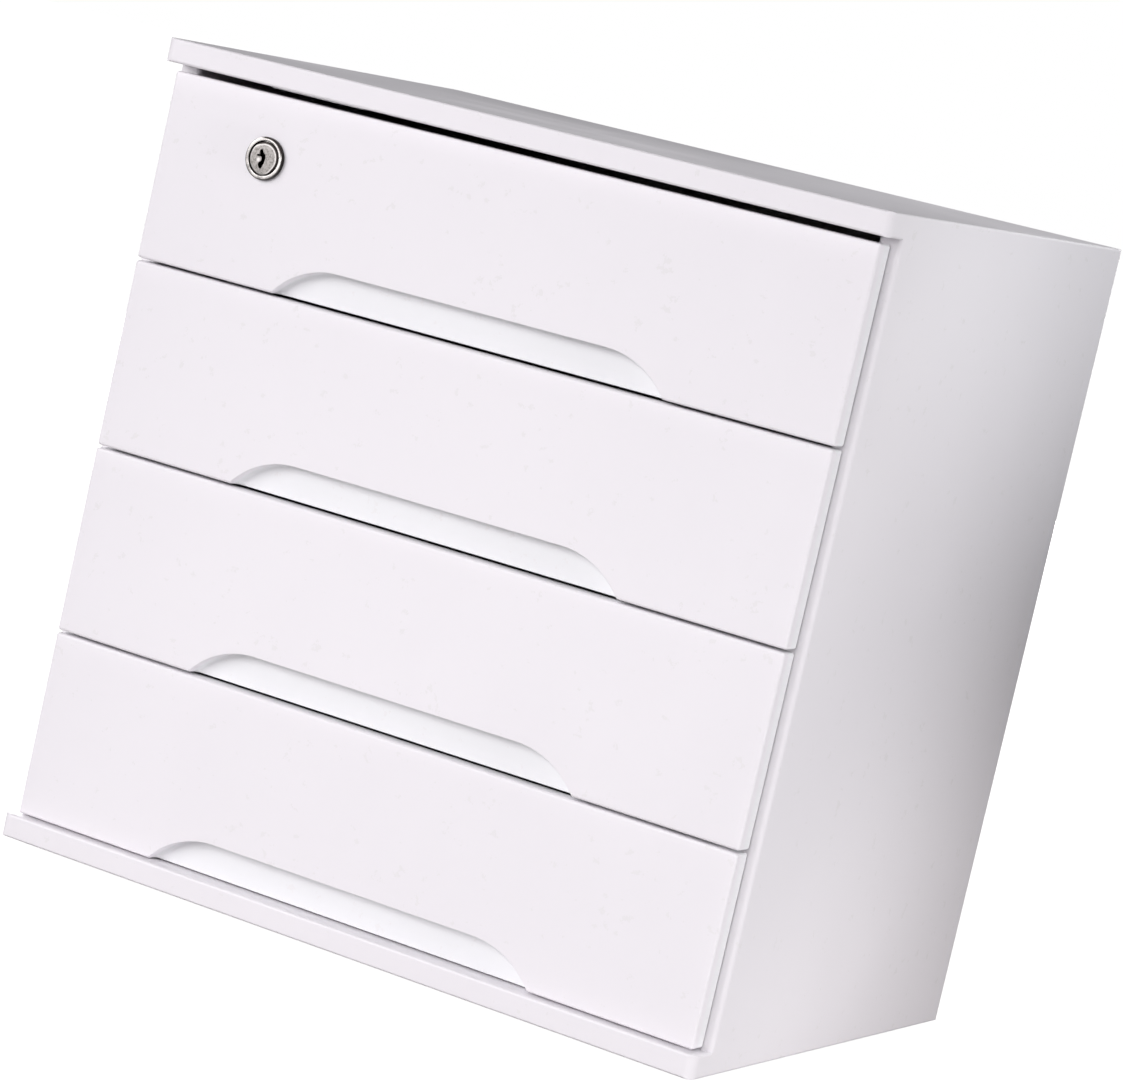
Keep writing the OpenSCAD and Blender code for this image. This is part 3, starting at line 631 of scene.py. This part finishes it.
# Painted highlights on the plug: a bright spot left of the keyway and a bright band near the plug's edge.
rubbed = use_effect(tree, "lock_axis", {"Position": place, "Axis": KEY_GLINT_PLACE})["Radius"]
key_glint = maths(tree, "MULTIPLY", ramp(tree, rubbed, *KEY_GLINT), 0.6)
away = maths(tree, "SUBTRACT", 1.0, ramp(tree, where["Facing"], -0.5, 0.35))
edge = maths(tree, "SUBTRACT", where["Radius"], maths(tree, "MULTIPLY", away, PLUG_EDGE_SHIFT))
glint = maths(tree, "MULTIPLY", ramp(tree, edge, *PLUG_GLINT_IN), ramp(tree, edge, *PLUG_GLINT_OUT))
painted_highlight = maths(tree, "MAXIMUM", key_glint, maths(tree, "MULTIPLY", glint, 0.45))
color = blend_color(tree, painted_highlight, color, (0.78, 0.76, 0.74, 1))
# Painted shade and painted reflection on the plug's edge, wider towards the upper right; painted shade on
# all of the plug less than a millimetre out of the face, down in the groove.
deep = ramp(tree, where["Out"], *PLUG_RECESS_SHADE)
paint_shade(tree, shader, color, maths(tree, "MAXIMUM", ramp(tree, edge, *PLUG_EDGE_SHADE), deep))


def zinc():
    """Zinc plated steel: small clouds of tone and fine lines."""
    made, tree, shader, place = finish("zinc", Metallic=1.0)
    clouds = shader_node(tree, "TexNoise", {"Vector": place, "Scale": 700.0, "Detail": 4.0}).outputs["Fac"]
    lines = use_effect(tree, "drawn_lines", {"Position": place, "Stretch": (0.1, 1, 1), "Scale": 3000.0})
    color = blend_color(tree, ramp(tree, clouds, 0.35, 0.65), (0.60, 0.61, 0.63, 1), (0.72, 0.72, 0.71, 1))
    tree.links.new(color, shader.inputs["Base Color"])
    tree.links.new(blend_value(tree, lines["Shade"], 0.28, 0.45), shader.inputs["Roughness"])
    bump(tree, shader, lines["Height"], 0.00001)
    return made


ZINC = zinc()
FINISH_OF_SLOT = {"inner_board": INNER, "runner_strip": STRIP, "dowel_wood": BEECH,
                  "pad_rubber": RUBBER, "lock_nickel": POLISHED, "zinc_steel": ZINC}
for part in frame["record"]["subparts"]:
    if part["material_slot"] in FINISH_OF_SLOT:
        wear(nodes[part["node"]], FINISH_OF_SLOT[part["material_slot"]])

# %% [markdown]
# ## Drawer fronts
#
# Each front is an 8.5 mm board with soft edges and a finger pull routed into its bottom
# edge. The cutter leaves a flat floor, a small cove at the foot of its steep wall, and a
# crisp lip. Boolean cuts would give that shape with ragged triangles along the curve, so we
# work the depth out as a formula instead, and let the rows of the grid follow the outline of
# the pull: the rows bunch up where the surface bends, and no face crosses the crisp lip.

# %% Sizes of the pull
EDGE_RADIUS = 1.2 * MM
PULL_WIDTH = 187.0 * MM
PULL_HEIGHT = 14.2 * MM
PULL_DEPTH = 6.0 * MM
PULL_END_RADIUS = 38.0 * MM
PULL_SHIFT = -4.0 * MM
LIP_RADIUS = 0.4 * MM
WALL_RUN = 0.15 * MM
COVE_RADIUS = 1.8 * MM
pull_fall = PULL_END_RADIUS - PULL_HEIGHT
pull_arc = math.sqrt(PULL_END_RADIUS ** 2 - pull_fall ** 2)
pull_straight = PULL_WIDTH / 2 - pull_arc
print("pull: straight half", round(pull_straight / MM, 2), "mm, arc", round(pull_arc / MM, 2), "mm")


# %% [markdown]
# Seen from the front the pull is a straight slot with an arc at each end, so how far a point
# lies inside its outline has a short formula. The depth depends on that distance alone. At
# the lip and in the cove it follows a circle, between them it drops steeply, and beyond the
# cove the cutter has left it flat.

# %% Shape of the pull
def rounding(distance, radius):
    """Depth of a quarter-round edge at this distance inside it: r - sqrt(r^2 - (r - d)^2)."""
    inward = np.clip(radius - distance, 0, radius)
    return radius - np.sqrt(radius ** 2 - inward ** 2)


def beyond_straight(x):
    """How far x lies past the straight part of the pull, towards the nearer end."""
    return np.maximum(np.abs(x - PULL_SHIFT) - pull_straight, 0)


def inside_outline(x, z):
    """Distance inside the outline: the end's radius less the distance from its centre."""
    return PULL_END_RADIUS - np.hypot(beyond_straight(x), z + pull_fall)


def outline_level(x, inset):
    """Height z of the outline drawn in by inset: centre height plus sqrt(R^2 - dx^2)."""
    radius = PULL_END_RADIUS - inset
    return np.sqrt(np.maximum(radius ** 2 - beyond_straight(x) ** 2, 0)) - pull_fall


def pull_depth(x, z):
    """Depth of the pull: a round lip, a steep wall, a quarter cove, then the flat floor."""
    inset = inside_outline(x, z)
    lip = rounding(-inset, LIP_RADIUS) * (inset > -LIP_RADIUS)
    wall = (PULL_DEPTH - LIP_RADIUS - COVE_RADIUS) * np.clip(inset / WALL_RUN, 0, 1)
    turn = np.clip((inset - WALL_RUN) / COVE_RADIUS, 0, 1)
    cove = COVE_RADIUS * np.sqrt(1 - (1 - turn) ** 2)
    return lip + wall + cove


# %% [markdown]
# The grid has a column for each x and, in each column, rows from the bottom edge to the
# top edge. The lower rows sit on the floor, the cove and the lip. Where the pull ends
# there is nothing left for them to follow, so they settle into the rounded bottom edge,
# one above the other, and never fall together.

# %% Grid of a front
TIP_INSIDE = 6.0 * MM
TIP_OUTSIDE = 1.5 * MM
SETTLE_RUN = 1.6 * MM


def columns_of(width):
    """Places of the columns: close at both ends and along the pull's arcs, wide between."""
    half = width / 2
    tip = pull_straight + pull_arc
    right = np.concatenate([
        np.linspace(0, pull_straight, 12)[:-1],
        np.linspace(pull_straight, tip - TIP_INSIDE, 30)[:-1],
        np.linspace(tip - TIP_INSIDE, tip + TIP_OUTSIDE, 36)[:-1]])
    pull_side = np.concatenate([-right[:0:-1], right]) + PULL_SHIFT
    outer_right = np.linspace(pull_side[-1], half - EDGE_RADIUS, 12)[1:-1]
    outer_left = np.linspace(-half + EDGE_RADIUS, pull_side[0], 12)[1:-1]
    ends = EDGE_RADIUS * (1 - np.cos(arc(8)))
    return np.concatenate([-half + ends, outer_left, pull_side, outer_right, half - ends[::-1]])


def front_piece(name, low, high):
    """A drawer front as closed sections across X: back, bottom edge, face with the pull, top edge."""
    width, thick, tall = (high[axis] - low[axis] for axis in range(3))
    x = columns_of(width)
    cove = WALL_RUN + COVE_RADIUS * (1 - np.cos(arc(9, 90, 0)))
    lip = -LIP_RADIUS * np.sin(arc(5))
    follow = np.concatenate([cove, lip])
    levels = np.array([outline_level(x, inset) for inset in follow])
    room = np.clip(levels[:1] / SETTLE_RUN, 0, 1)
    floor_rows = np.array([0, 0.15, 0.5, 0.8])[:, None] * MM * room
    base = np.vstack([floor_rows, 0.5 * levels[:1] + 0.5 * floor_rows[-1:], levels])
    settled = EDGE_RADIUS * (1 - np.cos(arc(len(base))))
    base = np.maximum(base, settled[:, None])
    rise = np.linspace(0, 1, 14)[1:, None] ** 1.3
    face = base[-1] + (tall - EDGE_RADIUS - base[-1]) * rise
    crown = tall - EDGE_RADIUS + EDGE_RADIUS * np.sin(arc(8))[1:, None] + 0 * x
    z = np.vstack([base, face, crown])
    side = np.minimum(x - x[0], x[-1] - x)
    corner = rounding(side, EDGE_RADIUS)
    z = corner + z * (tall - 2 * corner) / tall
    near_side = np.maximum(EDGE_RADIUS - side, 0)
    near_edge = np.maximum(EDGE_RADIUS - np.minimum(z, tall - z), 0)
    reach = np.minimum(np.hypot(near_side, near_edge), EDGE_RADIUS)
    blank = EDGE_RADIUS - np.sqrt(EDGE_RADIUS ** 2 - reach ** 2)
    pull = pull_depth(x, z)
    pull += rounding(z, LIP_RADIUS) * np.clip(pull / PULL_DEPTH, 0, 1)
    depth = np.maximum(blank, pull)
    back = np.stack([corner, tall - corner])
    z = np.vstack([back[:1], z, back[1:]])
    y = np.vstack([np.full((1, x.size), thick), depth, np.full((1, x.size), thick)])
    across = np.broadcast_to(x, z.shape) + (low[0] + high[0]) / 2
    points = np.stack([across, low[1] + y, low[2] + z], axis=-1)
    made = surface(name, points.transpose(1, 0, 2), close_columns=True, caps=True)
    return smooth_shade(made, 50)


fronts = {}
for number in range(1, 5):
    node = f"drawer_{number}_front"
    low, high = corners_of(node)
    piece = front_piece(f"front_{number}", low, high)
    wear(piece, lacquered_board(f"lacquer_front_{number}", low, high, routed=True))
    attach(piece, f"drawer_{number}")
    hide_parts(node)
    fronts[number] = piece
print("fronts:", {p.name: len(p.data.polygons) for p in fronts.values()})

# %% [markdown]
# ## Lock
#
# The lock is turned from bar: everything on it but the keyway and the nut is round, so each
# piece is a profile swept about the lock's axis. The ring has a soft crown and falls into a
# groove around the plug, and that dark line is what makes a lock read as one at a glance.
# Primitives with bevels would come close, but a profile holds the whole section in one list.

# %% Sweep about the lock's axis
AROUND = 144


def on_lock(radius, out):
    """Points around the lock's axis; radius is a (rows, AROUND) block, out is mm in front of the face."""
    turn = np.linspace(0, 2 * np.pi, AROUND, endpoint=False)
    radius = np.broadcast_to(radius, (len(out), AROUND)) * MM
    y = np.broadcast_to(LOCK_FACE_Y - np.asarray(out) * MM, radius.shape)
    return np.stack([LOCK_X + radius * np.cos(turn), y, LOCK_Z + radius * np.sin(turn)], axis=-1)


def cut(piece, cutter):
    """Takes the cutter out of a piece for good, and removes the cutter."""
    taking = piece.modifiers.new("cut", "BOOLEAN")
    taking.operation = "DIFFERENCE"
    taking.solver = "EXACT"
    taking.object = cutter
    done = piece.evaluated_get(bpy.context.evaluated_depsgraph_get())
    whole = piece.data
    piece.data = bpy.data.meshes.new_from_object(done)
    piece.modifiers.clear()
    bpy.data.objects.remove(cutter)
    bpy.data.meshes.remove(whole)


HOLE_RADIUS = 8.2
drill = surface("drill", on_lock(HOLE_RADIUS, np.array([[1.0], [-10.0]])), close_columns=True, caps=True)
cut(fronts[1], drill)
smooth_shade(fronts[1], 50)
print("lock: axis at", (LOCK_X, LOCK_Z), "face at", LOCK_FACE_Y, "front 1 drilled:",
      len(fronts[1].data.polygons), "faces")

# %% [markdown]
# The barrel is one closed profile: wall and crown of the ring, the groove, the seat of the
# plug, the bore, the rear end and the thread. The thread is a true helix: its radius is a
# triangle wave, cut off at crest and root, of the distance along the barrel less the turn, so
# it climbs as it goes round.

# %% Lock barrel
RING_RADIUS, RING_OUT = 9.0, 2.0
THREAD_PITCH = 1.25
THREAD_CREST, THREAD_ROOT = 7.98, 7.55
crown = RING_RADIUS - 0.5 + 0.5 * np.cos(arc(8)), RING_OUT - 0.5 + 0.5 * np.sin(arc(8))
inner = 7.5 - 0.3 * np.sin(arc(5)), RING_OUT - 0.3 + 0.3 * np.cos(arc(5))
ring_r = np.concatenate([
    [7.9, RING_RADIUS - 0.15, RING_RADIUS], crown[0], inner[0], [7.2, 7.08, 7.08, 6.0, 6.0, 7.3, 7.55]])
ring_y = np.concatenate([
    [0.0, 0.0, 0.15], crown[1], inner[1], [1.05, 0.9, 0.3, 0.3, -25.0, -25.0, -24.75]])
thread_y = np.linspace(-24.6, -6.0, 150)
turns = np.arange(AROUND) / AROUND
phase = (thread_y[:, None] / THREAD_PITCH - turns) % 1.0
wave = np.clip(1.6 * np.abs(2 * phase - 1) - 0.3, 0, 1)
fade = np.clip((thread_y[:, None] + 24.6) / 0.8, 0, 1) * np.clip((-6.0 - thread_y[:, None]) / 0.8, 0, 1)
thread_r = THREAD_ROOT + (THREAD_CREST - THREAD_ROOT) * wave * fade
radius = np.vstack([np.repeat(ring_r[:, None], AROUND, axis=1), thread_r])
out = np.concatenate([ring_y, thread_y])[:, None]
barrel = surface("lock_body", on_lock(radius, out), close_rows=True, close_columns=True)
smooth_shade(barrel, 38)
print("barrel:", len(barrel.data.polygons), "faces")

# %% [markdown]
# The plug is turned as well, and its keyway is broached: a prism with the keyway's outline is
# taken out of it. The outline bends, and has a small ward on its left. Cutting each of its
# corners at a quarter of the sides, twice over, turns the measured corners into soft curves.

# %% Lock plug
KEYWAY = np.array([(0.75, 0.75), (0.35, 1.65), (-0.5, 2.2), (-0.95, 2.9), (-1.2, 3.5), (-2.1, 3.6),
                   (-2.6, 3.0), (-2.45, 2.1), (-2.1, 1.2), (-2.9, 1.4), (-3.6, 1.05), (-3.7, 0.55),
                   (-2.9, 0.3), (-2.1, 0.55), (-1.35, 0.45), (-1.0, -0.3), (-1.1, -1.2), (-2.1, -1.9),
                   (-2.35, -2.8), (-1.85, -4.0), (-0.95, -4.5), (-0.3, -4.2), (0.3, -2.5), (0.7, -0.7)])
PLUG_OUT = 1.7


def softened(outline):
    """Cuts the corners of a closed outline: points at a quarter and three quarters of each side."""
    ahead = np.roll(outline, -1, axis=0)
    return np.stack([0.75 * outline + 0.25 * ahead, 0.25 * outline + 0.75 * ahead], axis=1).reshape(-1, 2)


turn = np.linspace(0, 2 * np.pi, AROUND, endpoint=False)
square = 3.5 / np.maximum(np.abs(np.cos(turn)), np.abs(np.sin(turn)))
rows = [(2.0, PLUG_OUT), (4.5, PLUG_OUT), (6.3, PLUG_OUT), (6.6, PLUG_OUT - 0.02), (6.8, PLUG_OUT - 0.12),
        (6.89, PLUG_OUT - 0.3), (6.92, PLUG_OUT - 0.6), (6.92, 0.5), (5.9, 0.5), (5.9, -25.0),
        (square, -25.0), (square, -27.2), (2.05, -27.2), (2.05, -17.7)]
radius = np.stack([np.broadcast_to(r, AROUND) for r, out in rows])
plug = surface("lock_core_plug", on_lock(radius, np.array([[out] for r, out in rows])),
               close_columns=True, caps=True)
outline = softened(softened(KEYWAY)) * MM
broach = np.stack([np.stack([LOCK_X + outline[:, 0], np.full(len(outline), LOCK_FACE_Y - out * MM),
                             LOCK_Z + outline[:, 1]], axis=-1) for out in (3.0, -10.3)])
cut(plug, surface("broach", broach, close_columns=True, caps=True))
smooth_shade(plug, 38)
print("plug:", len(plug.data.polygons), "faces, keyway", np.ptp(KEYWAY, axis=0), "mm")

# %% [markdown]
# The nut is a hexagon: at each angle its radius is half the width across flats divided by
# the cosine of the angle from the nearest flat. Turning takes off its corners, so near
# both ends the radius is also held below a steep cone.

# %% Lock nut
NUT_FLATS, NUT_THICK, NUT_OUT = 22.0, 4.0, -16.5
hexagon = NUT_FLATS / 2 / np.cos(turn % (np.pi / 3) - np.pi / 6)
depth = np.array([0, 0.2, 0.4, 0.7, 1.1, 2.0, 2.9, 3.3, 3.6, 3.8, 4.0])[:, None]
cone = 10.8 + np.minimum(depth, NUT_THICK - depth) * math.tan(math.radians(60))
outer = np.minimum(hexagon, cone)
bore = np.array([8.45, 8.05, 8.05, 8.45])[:, None] + 0 * turn
radius = np.vstack([outer, bore])
out = NUT_OUT - np.concatenate([depth[:, 0], [4.0, 3.6, 0.4, 0.0]])[:, None]
nut = surface("lock_nut_hexagon", on_lock(radius, out), close_rows=True, close_columns=True)
smooth_shade(nut, 30)

for piece, node, body, material, slot in (
        (barrel, "lock_barrel", "drawer_1", POLISHED, "lock_nickel"),
        (plug, "lock_plug", "lock_core", BLASTED, "lock_nickel"),
        (nut, "lock_nut", "drawer_1", ZINC, "zinc_steel")):
    wear(piece, material)
    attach(piece, body)
    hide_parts(node)
print("lock:", {p.name: len(p.data.polygons) for p in (barrel, plug, nut)})

# %% [markdown]
# ## Pads
#
# The cabinet stands on four moulded rubber pads. A pad is a low disc with a rounded foot
# and a shallow dish below, so that only a ring of it touches the table.

# %% Pads
def pad_piece(name, low, high):
    """A disc swept about its own upright axis: dished foot, rounded edge, straight wall."""
    middle = [(low[axis] + high[axis]) / 2 for axis in range(2)]
    size = (high[0] - low[0]) / 2 / MM
    edge = arc(6)
    radius = np.concatenate([[size * 0.55, size * 0.62], size - 0.6 + 0.6 * np.sin(edge), [size]]) * MM
    level = np.concatenate([[0.35, 0.0], 0.6 - 0.6 * np.cos(edge), [(high[2] - low[2]) / MM]]) * MM
    turn = np.linspace(0, 2 * np.pi, 64, endpoint=False)
    x = middle[0] + radius[:, None] * np.cos(turn)
    y = middle[1] + radius[:, None] * np.sin(turn)
    z = np.broadcast_to(low[2] + level[:, None], x.shape)
    return smooth_shade(surface(name, np.stack([x, y, z], axis=-1), close_columns=True, caps=True), 35)


for place in ("front_left", "front_right", "rear_left", "rear_right"):
    pad = pad_piece(f"pad_{place}", *corners_of(f"{place}_pad"))
    wear(pad, RUBBER)
    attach(pad, "case")
    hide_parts(f"{place}_pad")
print("pads:", len(pad.data.polygons), "faces each")
